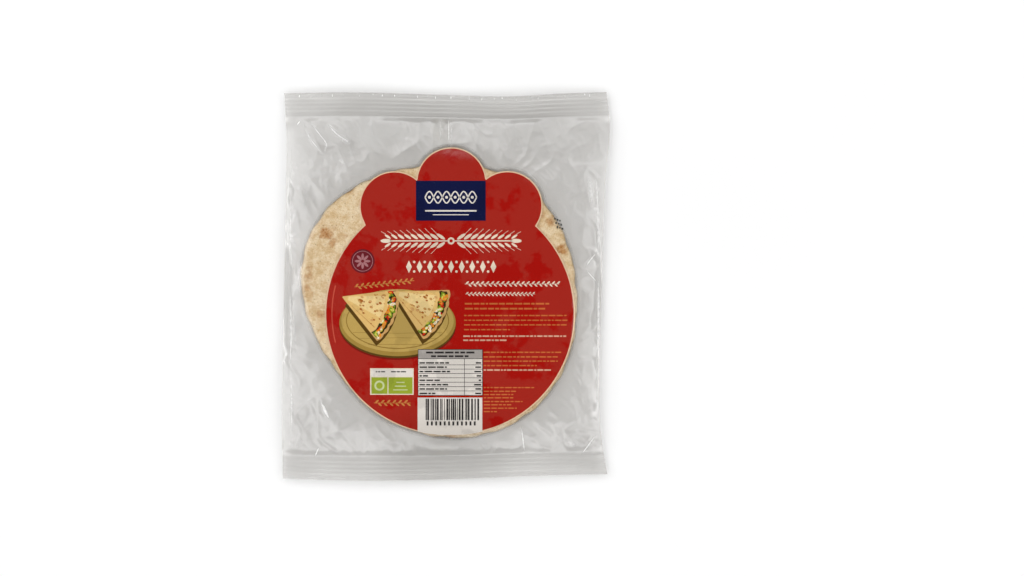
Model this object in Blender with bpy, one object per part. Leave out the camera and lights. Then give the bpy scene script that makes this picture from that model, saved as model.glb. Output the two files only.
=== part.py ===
"""A sealed clear bag of three round spelt flatbreads under a printed card, lying on its back.

Metres, +Z up. The front of the pack is up and its top seal points to +Y. The pack rests on the
flat underside of the bread stack at z = 0, and the origin is on that plane, below the middle of
the pack. The bag is one closed solid: its skin is drawn over the stack like a stretched film,
and the breads and the card inside it lift the skin, but they aren't solids of their own.
"""

import bpy
import numpy as np

# Pack outline
PACK_WIDTH = 0.190
PACK_LENGTH = 0.227
SKIN_GAP = 0.0006  # least distance between the front and back skins, as in the seals
EDGE_HEIGHT = 0.0048  # the side folds and the end seals stand this high over the table

# How far each edge wanders out from the plain rectangle: (place along the edge, offset)
LEFT_WANDER = [(-0.1135, 0.0009), (-0.072, 0.0011), (-0.003, 0.0), (0.052, -0.0012),
               (0.088, -0.0015), (0.1135, 0.0)]
RIGHT_WANDER = [(-0.1135, 0.0008), (-0.096, -0.002), (-0.056, -0.004), (0.0, -0.0025),
                (0.062, -0.0004), (0.097, 0.0022), (0.1135, 0.0003)]
TOP_WANDER = [(-0.095, 0.0), (-0.056, 0.0004), (0.0, -0.001), (0.042, -0.0019), (0.068, -0.0003),
              (0.095, 0.0008)]
BOTTOM_WANDER = [(-0.095, 0.0004), (-0.05, 0.0016), (0.0, 0.0009), (0.054, -0.0013),
                 (0.095, -0.0021)]
WANDER_REACH = 0.045  # an end edge's wander fades out this far into the pack
SIDE_WAVE = [(-0.1, 0.0), (-0.06, 0.0009), (-0.01, -0.0007), (0.04, 0.0008), (0.1, 0.0)]
SEAL_WAVE = [(-0.095, -0.0012), (-0.05, 0.0006), (0.0, -0.0006), (0.045, 0.0009), (0.095, -0.0014)]

# End seals, with ribs that run across the pack
SEAL_LENGTH = 0.0136
RIB_PITCH = 0.0024
RIB_COUNT = 5
RIB_HEIGHT = 0.0005
TAIL_LENGTH = 0.0016  # flat film between the last rib and the cut edge

# Back seam: a folded fin that shows between the stack and the seals
FIN_LEFT = -0.0078
FIN_RIGHT = 0.0032
FIN_HEIGHT = 0.0004

# Contents
BREAD_DIAMETER = 0.163
BREAD_THICKNESS = 0.0037
BREAD_COUNT = 3
BREAD_RIM = 0.003  # width of the rounded rim of the stack
STACK_CENTRE = (-0.0018, -0.0078)
BREAD_WAVES = [  # (waves once round, share of the radius, degrees of a crest) of the uneven edge
    (1, 0.0140, 46.2), (2, 0.0350, -43.3), (3, 0.0323, 44.4), (4, 0.0112, -32.7),
]
CARD_THICKNESS = 0.0004
CARD_DROOP = 16.0  # the card bends down by this times the square of its overhang
CARD_CIRCLES = [  # (x, y, radius): two for the broad round card, and the three lobes at its top
    (0.0006, -0.0168, 0.0709),
    (0.0056, -0.0168, 0.0709),
    (0.0039, 0.0606, 0.0206),
    (-0.0295, 0.0465, 0.0206),
    (0.0369, 0.0466, 0.0206),
]

# Film between the stack and the edges
FRONT_SWELL = 13.0  # curvature that the air beside the stack gives the front film, per metre
BACK_SWELL = 10.0
CLING = 12.0  # curvature by which the film hugs the stack
SETTLE_STEPS = 1500
SETTLE_GRID = 0.0025  # spacing of the even grid that the film settles on
SIDE_FADE = 0.006  # folds die out this close to a side edge
SEAL_FADE = 0.004  # and this close to an end seal

# Main folds of the front film: (start, end, height, half-width at the middle)
FOLD_FADE = 0.4  # share of a fold's length over which each end dies out
FOLDS = [
    ((-0.083, 0.099), (-0.071, 0.076), 0.0013, 0.0036),
    ((-0.069, 0.096), (-0.054, 0.081), 0.0012, 0.0034),
    ((-0.053, 0.090), (-0.034, 0.072), 0.0009, 0.0034),
    ((-0.034, 0.072), (-0.011, 0.088), 0.0009, 0.0034),
    ((0.010, 0.097), (0.025, 0.073), 0.0010, 0.0034),
    ((0.028, 0.089), (0.040, 0.068), 0.0009, 0.0032),
    ((0.081, 0.066), (0.088, 0.040), 0.0014, 0.0036),
    ((0.080, 0.011), (0.091, 0.020), 0.0010, 0.0030),
    ((-0.088, 0.064), (-0.081, 0.042), 0.0011, 0.0036),
    ((-0.089, 0.002), (-0.090, -0.050), 0.0010, 0.0032),
    ((-0.074, -0.064), (-0.068, -0.082), 0.0013, 0.0034),
    ((-0.078, -0.092), (-0.047, -0.078), 0.0010, 0.0036),
    ((0.045, -0.081), (0.047, -0.100), 0.0012, 0.0030),
    ((0.071, -0.084), (0.080, -0.100), 0.0011, 0.0034),
    ((0.080, -0.100), (0.090, -0.086), 0.0010, 0.0030),
]

# Grid lines: fine over the rim, the folds and the ribs, and coarse over the flat card
MARGIN_STEP = 0.0033
MIDDLE_STEP = 0.011
FLAT_HALF = (0.050, 0.048)  # half size of the flat middle, which has no rim or fold in it

FILM_COLOUR = (0.62, 0.61, 0.59, 1.0)
FILM_ROUGHNESS = 0.18

TINY = 1e-6  # places that differ by less are the same grid line


def through(points, at):
    """A smooth line through a few (place, value) points, read at each place in `at`."""
    place, value = np.array(points).T
    slope = np.gradient(value, place)
    i = np.clip(np.searchsorted(place, at) - 1, 0, len(place) - 2)
    width = place[i + 1] - place[i]
    t = np.clip((at - place[i]) / width, 0.0, 1.0)
    rise = value[i] * (1 + 2 * t) * (1 - t) ** 2 + value[i + 1] * t * t * (3 - 2 * t)
    return rise + width * (slope[i] * t * (1 - t) ** 2 + slope[i + 1] * t * t * (t - 1))


def smooth(t):
    """0 to 1 with no corner at either end."""
    t = np.clip(t, 0.0, 1.0)
    return t * t * (3 - 2 * t)


def evenly(start, end, step):
    """Places from start up to, but not including, end, no further apart than step."""
    count = int(np.ceil((end - start) / step - TINY))
    return list(start + (end - start) * np.arange(count) / count)


def column_places():
    """Grid lines across the pack, with one on each edge of the back seam."""
    flat, side = FLAT_HALF[0], PACK_WIDTH / 2
    stops = [-flat, FIN_LEFT, FIN_RIGHT, flat]
    places = evenly(-side, -flat, MARGIN_STEP)
    for start, end in zip(stops, stops[1:]):
        places += evenly(start, end, MIDDLE_STEP)
    return np.array(places + evenly(flat, side, MARGIN_STEP) + [side])


def row_places():
    """Grid lines along the pack, with two for each rib of a seal."""
    flat, end = FLAT_HALF[1], PACK_LENGTH / 2
    body = end - SEAL_LENGTH
    ribs = [end - TAIL_LENGTH - RIB_PITCH * half / 2 for half in range(2 * RIB_COUNT)]
    upper = evenly(flat, body, MARGIN_STEP) + [body] + ribs[::-1] + [end]
    return np.array([-y for y in upper[::-1]] + evenly(-flat, flat, MIDDLE_STEP)[1:] + upper)


def rib_wave(y):
    """The crimp of an end seal, which both skins share."""
    depth = PACK_LENGTH / 2 - TAIL_LENGTH - np.abs(y)
    inside = (depth > -TINY) & (depth < RIB_PITCH * (RIB_COUNT - 1 / 4))
    return np.where(inside, RIB_HEIGHT / 2 * np.cos(2 * np.pi * depth / RIB_PITCH), 0.0)


def inside_bread(x, y):
    """How far a place lies inside the uneven edge of the breads, and below 0 outside it."""
    across, along = x - STACK_CENTRE[0], y - STACK_CENTRE[1]
    turn = np.arctan2(along, across)
    waving = sum(share * np.cos(count * (turn - np.radians(crest))) for count, share, crest in BREAD_WAVES)
    return BREAD_DIAMETER / 2 * (1 + waving) - np.hypot(across, along)


def contents_top(x, y):
    """Height of the breads and the card under the front film, and 0 beside them."""
    from_edge = inside_bread(x, y)
    inset = np.clip(from_edge / BREAD_RIM, 0.0, 1.0)
    stack = BREAD_COUNT * BREAD_THICKNESS
    bread = np.where(inset > 0, stack - BREAD_THICKNESS / 2 * (1 - np.sqrt(inset * (2 - inset))), 0.0)
    overhang = np.clip(-from_edge, 0.0, None)
    card = stack + CARD_THICKNESS - CARD_DROOP * overhang**2
    on_card = [np.hypot(x - cx, y - cy) < radius for cx, cy, radius in CARD_CIRCLES]
    return np.where(np.any(on_card, axis=0), card, bread)


def settle(height, fixed, swell, lowest, highest):
    """The film as a stretched skin: each free point rests at its neighbours' mean, lifted by the
    air inside, but never under `lowest` or over `highest`."""
    for _ in range(SETTLE_STEPS):
        mean = height.copy()
        mean[1:-1, 1:-1] = swell + (
            height[:-2, 1:-1] + height[2:, 1:-1] + height[1:-1, :-2] + height[1:-1, 2:]
        ) / 4
        height = np.where(fixed, height, np.clip(mean, lowest, highest))
    return height


def even_grid():
    """Places across and along the evenly spaced grid that the film settles on."""
    across = np.linspace(-PACK_WIDTH / 2, PACK_WIDTH / 2, int(PACK_WIDTH / SETTLE_GRID) + 1)
    along = np.linspace(-PACK_LENGTH / 2, PACK_LENGTH / 2, int(PACK_LENGTH / SETTLE_GRID) + 1)
    return across, along


def skins():
    """Settled heights of the front and back film on the even grid."""
    x, y = np.meshgrid(*even_grid())
    in_seal = np.abs(y) > PACK_LENGTH / 2 - SEAL_LENGTH
    fixed = in_seal | (np.abs(x) >= PACK_WIDTH / 2 - TINY)
    middle = EDGE_HEIGHT + through(SIDE_WAVE, y) * smooth(np.abs(x) / (PACK_WIDTH / 2))
    middle = np.where(in_seal, EDGE_HEIGHT + through(SEAL_WAVE, x), middle)
    top = contents_top(x, y)
    rise = SETTLE_GRID**2 / 4
    puff = np.where(top > 0, -CLING, FRONT_SWELL)[1:-1, 1:-1] * rise
    front = settle(np.maximum(middle, top), fixed, puff, top, 1.0)
    highest = np.where(inside_bread(x, y) > BREAD_RIM / 2, 0.0, 1.0)
    back = settle(middle.copy(), fixed, -BACK_SWELL * rise, 0.0, highest)
    return front, back


def read_grid(height, x, y):
    """A height of the even grid, read between its points."""
    across, along = even_grid()
    i = np.clip(np.searchsorted(across, x) - 1, 0, len(across) - 2)
    j = np.clip(np.searchsorted(along, y) - 1, 0, len(along) - 2)
    s = (x - across[i]) / (across[1] - across[0])
    t = (y - along[j]) / (along[1] - along[0])
    low = height[j, i] * (1 - s) + height[j, i + 1] * s
    high = height[j + 1, i] * (1 - s) + height[j + 1, i + 1] * s
    return low * (1 - t) + high * t


def fold_height(x, y):
    """The sum of the main folds: ridges that are widest in the middle and die out at both ends."""
    total = np.zeros_like(x)
    for (x0, y0), (x1, y1), height, half_width in FOLDS:
        dx, dy = x1 - x0, y1 - y0
        length = np.hypot(dx, dy)
        along = ((x - x0) * dx + (y - y0) * dy) / length**2
        aside = np.abs((x - x0) * dy - (y - y0) * dx) / length
        ridge = np.clip(1 - aside / (2 * half_width), 0.0, 1.0) ** 1.5
        total += height * ridge * smooth(along / FOLD_FADE) * smooth((1 - along) / FOLD_FADE)
    return total


def outlined(x, y):
    """Moves a point of the plain rectangle to the pack's real, wandering outline."""
    side = x / (PACK_WIDTH / 2)
    wander = np.where(x < 0, through(LEFT_WANDER, y), through(RIGHT_WANDER, y))
    reach = smooth((np.abs(y) - PACK_LENGTH / 2) / WANDER_REACH + 1)
    end = np.where(y < 0, -through(BOTTOM_WANDER, x), through(TOP_WANDER, x))
    return x + side * np.abs(side) ** 3 * wander, y + reach * end


def bag_points():
    """Points of the front skin and of the back skin, row by row."""
    x, y = np.meshgrid(column_places(), row_places())
    front_film, back_film = skins()
    crimp = rib_wave(y)
    front = read_grid(front_film, x, y) + crimp + SKIN_GAP / 2
    back = read_grid(back_film, x, y) + crimp - SKIN_GAP / 2
    free = smooth((PACK_WIDTH / 2 - np.abs(x)) / SIDE_FADE)
    free = free * smooth((PACK_LENGTH / 2 - SEAL_LENGTH - np.abs(y)) / SEAL_FADE)
    front = front + fold_height(x, y) * free
    in_fin = (x > FIN_LEFT - TINY) & (x < FIN_RIGHT + TINY)
    back = np.maximum(back - np.where(in_fin, FIN_HEIGHT, 0.0) * free, 0.0)
    px, py = outlined(x, y)
    return np.dstack([px, py, np.maximum(front, back + SKIN_GAP)]), np.dstack([px, py, back])


def skin_faces(rows, columns, first, flipped):
    """Two triangles for each grid cell, both skins split along the same diagonal."""
    faces = []
    for j in range(rows - 1):
        for i in range(columns - 1):
            a = first + j * columns + i
            b, c, d = a + 1, a + columns + 1, a + columns
            for face in ((a, b, c), (a, c, d)):
                faces.append(face[::-1] if flipped else face)
    return faces


def wall_faces(rows, columns):
    """The narrow wall that joins the two skins all round the edge."""
    loop = list(range(columns))
    loop += [j * columns + columns - 1 for j in range(1, rows)]
    loop += [(rows - 1) * columns + i for i in range(columns - 2, -1, -1)]
    loop += [j * columns for j in range(rows - 2, 0, -1)]
    below = rows * columns
    return [
        (a + below, b + below, b, a) for a, b in zip(loop, loop[1:] + loop[:1])
    ]


def film_material():
    material = bpy.data.materials.new("clear_film")
    material.use_nodes = True
    shader = material.node_tree.nodes["Principled BSDF"]
    shader.inputs["Base Color"].default_value = FILM_COLOUR
    shader.inputs["Roughness"].default_value = FILM_ROUGHNESS
    shader.inputs["Metallic"].default_value = 0.0
    return material


def make_bag():
    front, back = bag_points()
    rows, columns, _ = front.shape
    points = np.concatenate([front.reshape(-1, 3), back.reshape(-1, 3)])
    faces = skin_faces(rows, columns, 0, flipped=False)
    faces += skin_faces(rows, columns, rows * columns, flipped=True)
    faces += wall_faces(rows, columns)
    mesh = bpy.data.meshes.new("bag")
    mesh.from_pydata(points.tolist(), [], faces)
    mesh.shade_smooth()
    bag = bpy.data.objects.new("bag", mesh)
    bag.data.materials.append(film_material())
    bpy.context.scene.collection.objects.link(bag)


def main():
    for old in list(bpy.data.objects):
        bpy.data.objects.remove(old)
    make_bag()


main()
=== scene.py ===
"""The looks of a sealed clear pack of round spelt flatbreads under a printed card.

Metres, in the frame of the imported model: +Z up, the pack's front up, its top seal at +Y. The film,
the breads, the card and its print stand for the solid bag. The film settles over the breads and
the card by the same rule and sizes as the solid's skin, on a finer grid.
"""

import bpy
import numpy as np
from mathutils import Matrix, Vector
from mathutils.bvhtree import BVHTree


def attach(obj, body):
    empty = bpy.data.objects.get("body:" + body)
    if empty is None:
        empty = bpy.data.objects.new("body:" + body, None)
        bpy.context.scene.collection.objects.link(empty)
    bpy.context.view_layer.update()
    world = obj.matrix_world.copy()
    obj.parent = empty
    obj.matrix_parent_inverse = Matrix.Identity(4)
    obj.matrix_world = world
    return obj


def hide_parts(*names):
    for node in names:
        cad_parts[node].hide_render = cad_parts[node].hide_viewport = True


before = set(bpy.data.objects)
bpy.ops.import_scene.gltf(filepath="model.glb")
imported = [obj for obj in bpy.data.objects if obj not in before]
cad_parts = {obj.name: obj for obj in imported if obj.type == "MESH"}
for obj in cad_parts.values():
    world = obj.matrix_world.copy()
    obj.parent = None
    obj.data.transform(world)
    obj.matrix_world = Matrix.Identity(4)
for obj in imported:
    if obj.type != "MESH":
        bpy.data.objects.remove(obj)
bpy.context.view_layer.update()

MM = 0.001

# Pack outline, as in the solid
PACK_WIDTH = 0.190
PACK_LENGTH = 0.227
EDGE_HEIGHT = 0.0048
LEFT_WANDER = [(-0.1135, 0.0009), (-0.072, 0.0011), (-0.003, 0.0), (0.052, -0.0012),
               (0.088, -0.0015), (0.1135, 0.0)]
RIGHT_WANDER = [(-0.1135, 0.0008), (-0.096, -0.002), (-0.056, -0.004), (0.0, -0.0025),
                (0.062, -0.0004), (0.097, 0.0022), (0.1135, 0.0003)]
TOP_WANDER = [(-0.095, 0.0), (-0.056, 0.0004), (0.0, -0.001), (0.042, -0.0019), (0.068, -0.0003),
              (0.095, 0.0008)]
BOTTOM_WANDER = [(-0.095, 0.0004), (-0.05, 0.0016), (0.0, 0.0009), (0.054, -0.0013),
                 (0.095, -0.0021)]
WANDER_REACH = 0.045
SIDE_WAVE = [(-0.1, 0.0), (-0.06, 0.0009), (-0.01, -0.0007), (0.04, 0.0008), (0.1, 0.0)]
SEAL_WAVE = [(-0.095, -0.0012), (-0.05, 0.0006), (0.0, -0.0006), (0.045, 0.0009), (0.095, -0.0014)]
SEAL_LENGTH = 0.0136
RIB_PITCH = 0.0024
RIB_COUNT = 5
RIB_HEIGHT = 0.00024  # finer than the ribs of the solid, which are drawn heavy
TAIL_LENGTH = 0.0016
BODY_HALF = PACK_LENGTH / 2 - SEAL_LENGTH  # from the middle of the pack to a seal

# Contents, as in the solid
BREAD_DIAMETER = 0.163
BREAD_THICKNESS = 0.0037
BREAD_COUNT = 3
BREAD_RIM = 0.003
STACK_CENTRE = (-0.0018, -0.0078)
BREAD_WAVES = [  # (waves once round, share of the radius, degrees of a crest) of the uneven edge
    (1, 0.0140, 46.2), (2, 0.0350, -43.3), (3, 0.0323, 44.4), (4, 0.0112, -32.7),
]
CARD_THICKNESS = 0.0004
CARD_DROOP = 16.0
CARD_CIRCLES = [  # (x, y, radius): two for the broad round card, and the three lobes at its top
    (0.0006, -0.0168, 0.0709),
    (0.0056, -0.0168, 0.0709),
    (0.0039, 0.0606, 0.0206),
    (-0.0295, 0.0465, 0.0206),
    (0.0369, 0.0466, 0.0206),
]
CARD_CENTRE = (0.0031, -0.0168)
STACK_HEIGHT = BREAD_COUNT * BREAD_THICKNESS

# Film, as in the solid, but settled on a finer grid
FRONT_SWELL = 13.0
BACK_SWELL = 10.0
CLING = 12.0
SETTLE_CELLS = (64, 67)  # cells of the coarsest grid, across and along
SETTLE_LEVELS = 2  # times that the grid is halved
SETTLE_STEPS = (3000, 600, 400)
SEAL_ROWS = 36
SIDE_FADE = 0.006
SEAL_FADE = 0.004
SEAL_BLEND = 0.004  # over which the sides' wave turns into the seals'
FOLD_FADE = 0.4
FILM_GAP = 0.00015  # the two skins are this far apart in the seals
FILM_LIFT = 0.0003  # the front film floats this high over the card, and the back film over the floor
FOLDS = [  # in mm: (start, end, height, half-width at the middle) of the main folds
    ((-83, 99), (-71, 76), 1.3, 3.6),
    ((-69, 96), (-54, 81), 1.2, 3.4),
    ((-53, 90), (-34, 72), 0.9, 3.4),
    ((-34, 72), (-11, 88), 0.9, 3.4),
    ((10, 97), (25, 73), 1, 3.4),
    ((28, 89), (40, 68), 0.9, 3.2),
    ((81, 66), (88, 40), 1.4, 3.6),
    ((80, 11), (91, 20), 1, 3),
    ((-88, 64), (-81, 42), 1.1, 3.6),
    ((-89, 2), (-90, -50), 1, 3.2),
    ((-74, -64), (-68, -82), 1.3, 3.4),
    ((-78, -92), (-47, -78), 1, 3.6),
    ((45, -81), (47, -100), 1.2, 3),
    ((71, -84), (80, -100), 1.1, 3.4),
    ((80, -100), (90, -86), 1, 3),
]

# Random creases of the film
CRUMPLE = 0.0010  # their height
CRUMPLE_FADE = 0.012  # they reach it this far from the breads
CRUMPLE_SIZES = (0.0070, 0.0065, 0.0042, 0.0024, 0.016)  # radial, slanted, small, tiny and broad
CRUMPLE_SHARES = (0.75, 0.55, 0.26, 0.06, 0.6)  # of the same five
CRUMPLE_RADIUS = 0.080  # where the radial ones have their size
CRUMPLE_BEND = (0.004, 0.015)  # how far they wander, and over what length
OVER_BREADS = (0.011, 0.1)  # their size and share there
CALM = (0.060, 0.020, 0.5)  # (y from which they are lower, over what length, by what share)
FRONT_SEED = 3
BACK_SEED = 23
BACK_SHARE = 0.6


def through(points, at):
    """A smooth line through a few (place, value) points, read at each place in `at`."""
    place, value = np.array(points).T
    slope = np.gradient(value, place)
    i = np.clip(np.searchsorted(place, at) - 1, 0, len(place) - 2)
    width = place[i + 1] - place[i]
    t = np.clip((at - place[i]) / width, 0.0, 1.0)
    rise = value[i] * (1 + 2 * t) * (1 - t) ** 2 + value[i + 1] * t * t * (3 - 2 * t)
    return rise + width * (slope[i] * t * (1 - t) ** 2 + slope[i + 1] * t * t * (t - 1))


def smooth(t):
    """0 to 1 with no corner at either end."""
    t = np.clip(t, 0.0, 1.0)
    return t * t * (3 - 2 * t)


def growing(value, start, length, full=1.0):
    """0 up to `start`, and `full` from `length` past it on."""
    return full * smooth((value - start) / length)


def waves(x, y, size, seed):
    """Smooth random waves between -1 and 1, about `size` from crest to hollow."""
    count = 64
    table = np.random.default_rng(seed).uniform(-1, 1, (count, count))
    u, v = x / size + count / 2, y / size + count / 2
    i, j = np.floor(u).astype(int), np.floor(v).astype(int)
    s, t = smooth(u - i), smooth(v - j)
    i, j, i1, j1 = i % count, j % count, (i + 1) % count, (j + 1) % count
    low = table[j, i] * (1 - s) + table[j, i1] * s
    high = table[j1, i] * (1 - s) + table[j1, i1] * s
    return low * (1 - t) + high * t


# Meshes


def add_object(name, data):
    made = bpy.data.objects.new(name, data)
    bpy.context.scene.collection.objects.link(made)
    return made


def make_mesh(name, points, faces, smooth_shade=True):
    mesh = bpy.data.meshes.new(name)
    mesh.from_pydata(np.asarray(points, float).reshape(-1, 3).tolist(), [], faces)
    if smooth_shade:
        mesh.shade_smooth()
    return add_object(name, mesh)


def set_values(piece, name, values):
    """Gives each point of a piece a value that its material reads."""
    piece.data.attributes.new(name, "FLOAT", "POINT").data.foreach_set("value", np.ravel(values))


def grid_faces(rows, columns, first=0, flipped=False, wraps=False):
    """Quads of a grid of points; `wraps` joins its last column to its first."""
    j, i = np.meshgrid(np.arange(rows - 1), np.arange(columns if wraps else columns - 1), indexing="ij")
    a = j * columns + i
    b = j * columns + (i + 1) % columns
    quads = np.stack([a, b, b + columns, a + columns], axis=-1).reshape(-1, 4) + first
    return (quads[:, ::-1] if flipped else quads).tolist()


def slab(x, y, top, bottom):
    """Points and faces of a closed slab, given as rings of points out to its edge."""
    rings, turns = x.shape
    points = np.concatenate([np.dstack([x, y, z]).reshape(-1, 3) for z in (top, bottom)])
    below = rings * turns
    faces = grid_faces(rings, turns, wraps=True) + grid_faces(rings, turns, below, True, True)
    last = below - turns
    for i in range(turns):
        j = (i + 1) % turns
        faces.append((last + i, last + i + below, last + j + below, last + j))
    return points, faces


def finish_piece(piece, material, replaces=False):
    """Gives a piece its finish and hangs it from the root body; with replaces, it hides the solid bag.
    """
    if material is not None:
        piece.data.materials.append(material)
    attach(piece, "root")
    if replaces:
        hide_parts("bag")
    return piece


# Materials


class Nodes:
    """A node tree with a short way to add and join nodes."""

    def __init__(self, owner):
        owner.use_nodes = True
        self.tree = owner.node_tree

    def plug(self, socket, value):
        """Joins another node's output to a socket, or gives the socket a fixed value."""
        if isinstance(value, bpy.types.NodeSocket):
            self.tree.links.new(value, socket)
        else:
            socket.default_value = value

    def node(self, kind, inputs=(), **settings):
        made = self.tree.nodes.new("ShaderNode" + kind)
        for key, value in settings.items():
            setattr(made, key, value)
        for key, value in dict(inputs).items():
            self.plug(made.inputs[key], value)
        return made

    def ramp(self, value, stops, ease="LINEAR"):
        made = self.node("ValToRGB", {"Fac": value})
        made.color_ramp.interpolation = ease
        elements = made.color_ramp.elements
        while len(elements) < len(stops):
            elements.new(0.5)
        for element, (at, colour) in zip(elements, stops):
            element.position = at
            element.color = (*colour, 1.0)
        return made.outputs["Color"]

    def grey(self, value, start, end, low=0.0, high=1.0, ease="LINEAR"):
        """A grey that goes from `low` to `high` while the value goes from `start` to `end`."""
        return self.ramp(value, [(start, (low, low, low)), (end, (high, high, high))], ease)

    def mix(self, factor, a, b, blend="MIX"):
        a, b = ((*colour, 1.0) if isinstance(colour, tuple) else colour for colour in (a, b))
        inputs = {0: factor, 6: a, 7: b}
        return self.node("Mix", inputs, data_type="RGBA", blend_type=blend).outputs[2]

    def math(self, operation, a, b=0.0):
        return self.node("Math", {0: a, 1: b}, operation=operation).outputs[0]


class Shader(Nodes):
    """A material with a Principled shader."""

    def __init__(self, name):
        self.material = bpy.data.materials.new(name)
        super().__init__(self.material)

    def place(self):
        return self.node("TexCoord").outputs["Object"]

    def noise(self, scale, detail=2.0, rough=0.5):
        inputs = {"Vector": self.place(), "Scale": scale, "Detail": detail, "Roughness": rough}
        return self.node("TexNoise", inputs).outputs["Fac"]

    def blend(self, factor, a, b):
        return self.node("MixShader", {"Fac": factor, 1: a, 2: b}).outputs[0]

    def surface(self, closure):
        """The material, with this closure in place of the Principled shader."""
        self.plug(self.tree.nodes["Material Output"].inputs["Surface"], closure)
        return self.material

    def attribute(self, name):
        return self.node("Attribute", attribute_name=name).outputs["Fac"]

    def bump(self, height, strength, distance):
        made = self.node("Bump", {"Height": height, "Strength": strength, "Distance": distance})
        return made.outputs["Normal"]

    def set(self, **inputs):
        main = self.tree.nodes["Principled BSDF"]
        for key, value in inputs.items():
            self.plug(main.inputs[key.replace("_", " ")], value)
        return self.material


def linear(red, green, blue):
    """A colour as read off a screen, 0 to 255, as the linear values that a shader takes."""
    c = np.array([red, green, blue]) / 255
    return tuple(np.where(c <= 0.04045, c / 12.92, ((c + 0.055) / 1.055) ** 2.4).tolist())


# The contents' heights


def inside_bread(x, y):
    """How far a place lies inside the uneven edge of the breads, and below 0 outside it."""
    across, along = x - STACK_CENTRE[0], y - STACK_CENTRE[1]
    return bread_radius(np.degrees(np.arctan2(along, across)) % 360) - np.hypot(across, along)


def bread_radius(angle):
    """Radius of the breads' uneven edge at an angle in degrees."""
    waving = 0.0
    for count, share, crest in BREAD_WAVES:
        waving = waving + share * np.cos(np.radians(count * (angle - crest)))
    return BREAD_DIAMETER / 2 * (1 + waving)


def card_top(x, y):
    """Height of the card's upper face, which bends down past the edge of the breads."""
    overhang = np.clip(-inside_bread(x, y), 0.0, None)
    return STACK_HEIGHT + CARD_THICKNESS - CARD_DROOP * overhang**2


def contents_top(x, y):
    """Height of the breads and the card under the front film, and 0 beside them."""
    inset = np.clip(inside_bread(x, y) / BREAD_RIM, 0.0, 1.0)
    rim = BREAD_THICKNESS / 2 * (1 - np.sqrt(inset * (2 - inset)))
    bread = np.where(inset > 0, STACK_HEIGHT - rim, 0.0)
    on_card = [np.hypot(x - cx, y - cy) < radius for cx, cy, radius in CARD_CIRCLES]
    return np.where(np.any(on_card, axis=0), card_top(x, y), bread)


# Film


def settle(height, fixed, swell, lowest, highest, steps):
    """The film as a stretched skin: each free point rests at its neighbours' mean, lifted by the
    air inside, but never under `lowest` or over `highest`."""
    for _ in range(steps):
        mean = height.copy()
        mean[1:-1, 1:-1] = swell + (
            height[:-2, 1:-1] + height[2:, 1:-1] + height[1:-1, :-2] + height[1:-1, 2:]
        ) / 4
        height = np.where(fixed, height, np.clip(mean, lowest, highest))
    return height


def halved(values):
    """The same values on a grid with twice as many cells each way."""
    rows, columns = values.shape
    finer = np.zeros((2 * rows - 1, 2 * columns - 1))
    finer[::2, ::2] = values
    finer[1::2, ::2] = (values[:-1] + values[1:]) / 2
    finer[:, 1::2] = (finer[:, :-2:2] + finer[:, 2::2]) / 2
    return finer


def settled_skins(x, y, level=SETTLE_LEVELS):
    """Heights of the front and the back film between the seals, from a coarse grid to a fine one."""
    middle = EDGE_HEIGHT + through(SIDE_WAVE, y) * smooth(np.abs(x) / (PACK_WIDTH / 2))
    last = growing(np.abs(y), BODY_HALF - SEAL_BLEND, SEAL_BLEND)
    middle = middle * (1 - last) + (EDGE_HEIGHT + through(SEAL_WAVE, x)) * last
    fixed = np.zeros_like(x, bool)
    fixed[[0, -1], :] = True
    fixed[:, [0, -1]] = True
    top = contents_top(x, y)
    if level:
        front, back = (halved(skin) for skin in settled_skins(x[::2, ::2], y[::2, ::2], level - 1))
        front, back = np.where(fixed, middle, front), np.where(fixed, middle, back)
    else:
        front, back = np.maximum(middle, top), middle.copy()
    rise = (x[0, 1] - x[0, 0]) ** 2 / 4
    puff = np.where(top > 0, -CLING, FRONT_SWELL)[1:-1, 1:-1] * rise
    front = settle(front, fixed, puff, top, 1.0, SETTLE_STEPS[level])
    highest = np.where(inside_bread(x, y) > BREAD_RIM / 2, 0.0, 1.0)
    return front, settle(back, fixed, -BACK_SWELL * rise, 0.0, highest, SETTLE_STEPS[level])


def ridges(x, y, folds):
    """The sum of straight folds: ridges that are widest in the middle and die out at both ends."""
    x, y = x / MM, y / MM
    total = np.zeros_like(x)
    for (x0, y0), (x1, y1), height, half_width in folds:
        dx, dy = x1 - x0, y1 - y0
        length = np.hypot(dx, dy)
        along = ((x - x0) * dx + (y - y0) * dy) / length**2
        aside = np.abs((x - x0) * dy - (y - y0) * dx) / length
        ridge = np.clip(1 - aside / (2 * half_width), 0.0, 1.0) ** 1.5
        total += height * ridge * smooth(along / FOLD_FADE) * smooth((1 - along) / FOLD_FADE)
    return total * MM


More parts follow.
